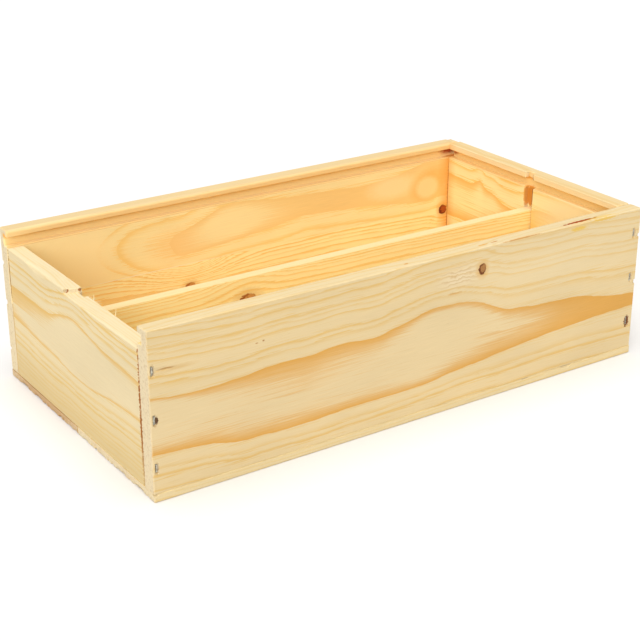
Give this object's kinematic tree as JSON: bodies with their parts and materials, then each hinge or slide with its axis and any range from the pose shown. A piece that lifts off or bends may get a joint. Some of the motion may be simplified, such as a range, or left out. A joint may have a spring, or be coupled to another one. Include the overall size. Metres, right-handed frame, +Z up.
{
  "type": "wooden wine box",
  "caption": "Open pine wine box with stapled corners, a groove for a sliding lid round its rim, a low end that the lid passes over and a lengthwise divider that lifts out.",
  "frame": {"origin": "middle of the base, where the box stands", "axes": "+X along the length towards the full-height right end, +Y from the front board to the back board, +Z up; a lid slides in from -X"},
  "size_m": [0.36, 0.198, 0.1025],
  "materials": {
    "pine_wall": "planed, unfinished",
    "pine_bottom": "sawn, unfinished",
    "pine_divider": "planed, unfinished",
    "staple_wire": "galvanised wire"
  },
  "bodies": {
    "box": {"front_board": "pine_wall", "back_board_upper": "pine_wall", "back_board_lower": "pine_wall", "left_end": "pine_wall", "right_end": "pine_wall", "bottom_board_front": "pine_bottom", "bottom_board_rear": "pine_bottom", "staples_front_left": "staple_wire", "staples_front_right": "staple_wire", "staples_back_left": "staple_wire", "staples_back_right": "staple_wire", "staples_bottom_front": "staple_wire", "staples_bottom_back": "staple_wire", "staples_bottom_left": "staple_wire", "staples_bottom_right": "staple_wire"},
    "divider": {"divider": "pine_divider"}
  },
  "joints": [
    {"name": "divider_lift", "type": "slide", "parent": "box", "child": "divider", "axis": [0, 0, 1], "range_m": [0, 0.11]}
  ]
}
